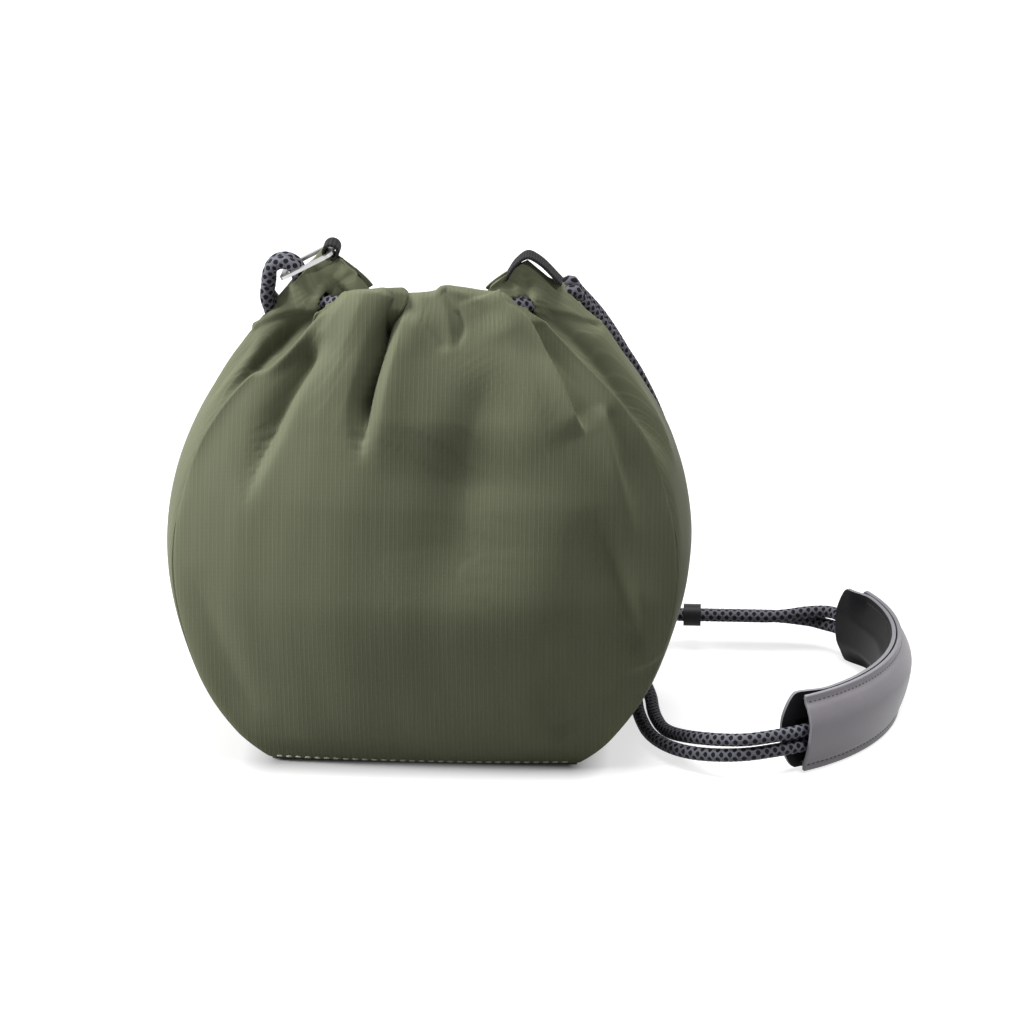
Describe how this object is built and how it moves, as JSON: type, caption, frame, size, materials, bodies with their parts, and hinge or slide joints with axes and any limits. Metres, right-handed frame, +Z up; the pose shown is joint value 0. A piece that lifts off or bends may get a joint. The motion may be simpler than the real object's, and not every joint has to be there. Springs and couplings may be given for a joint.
{
  "type": "lens pouch",
  "caption": "Padded drawstring lens pouch of olive cloth with a flat base, gathered hem, webbing loops on its ears and a doubled rope strap with a leather shoulder pad.",
  "frame": {"origin": "middle of the pouch's base on the floor", "axes": "+X to the right seen from the front, towards the shoulder pad; +Y to the back; +Z up"},
  "size_m": [0.3234, 0.1689, 0.2192],
  "materials": {
    "olive_cloth": "fine ripstop weave, matt, olive green",
    "padding": "soft foam, dark grey",
    "lining": "plain weave, dark grey",
    "board": "stiff plastic sheet",
    "rope": "braided, charcoal with black flecks",
    "webbing": "ribbed black webbing",
    "steel": "satin",
    "black_plastic": "moulded, matt",
    "leather_outer": "smooth grey leather, satin",
    "leather_inner": "dark grey leather, matt"
  },
  "bodies": {
    "pouch": {"base_panel": "olive_cloth", "base_board": "board", "base_padding": "padding", "base_lining": "lining", "front_panel": "olive_cloth", "front_padding": "padding", "front_lining": "lining", "back_panel": "olive_cloth", "back_padding": "padding", "back_lining": "lining", "left_gusset": "olive_cloth", "left_padding": "padding", "left_lining": "lining", "right_gusset": "olive_cloth", "right_padding": "padding", "right_lining": "lining", "front_drawcord": "rope", "back_drawcord": "rope", "strap_rope_front": "rope", "strap_rope_back": "rope", "left_webbing_loop": "webbing", "right_webbing_loop": "webbing"},
    "ring": {"strap_ring": "steel"},
    "keeper": {"strap_keeper": "black_plastic"},
    "pad": {"pad_inner": "leather_inner", "pad_outer": "leather_outer"}
  },
  "joints": [
    {"name": "ring_swing", "type": "hinge", "parent": "pouch", "child": "ring", "pos_m": [-0.041, 0, 0.216], "axis": [0, 1, 0], "range_deg": [-6, 2]},
    {"name": "keeper_slide", "type": "slide", "parent": "pouch", "child": "keeper", "axis": [1, 0, 0], "range_m": [0, 0.032]},
    {"name": "pad_slide", "type": "hinge", "parent": "pouch", "child": "pad", "pos_m": [0.114, 0.031, 0.018], "axis": [0, 0, 1], "range_deg": [-3, 3]}
  ]
}
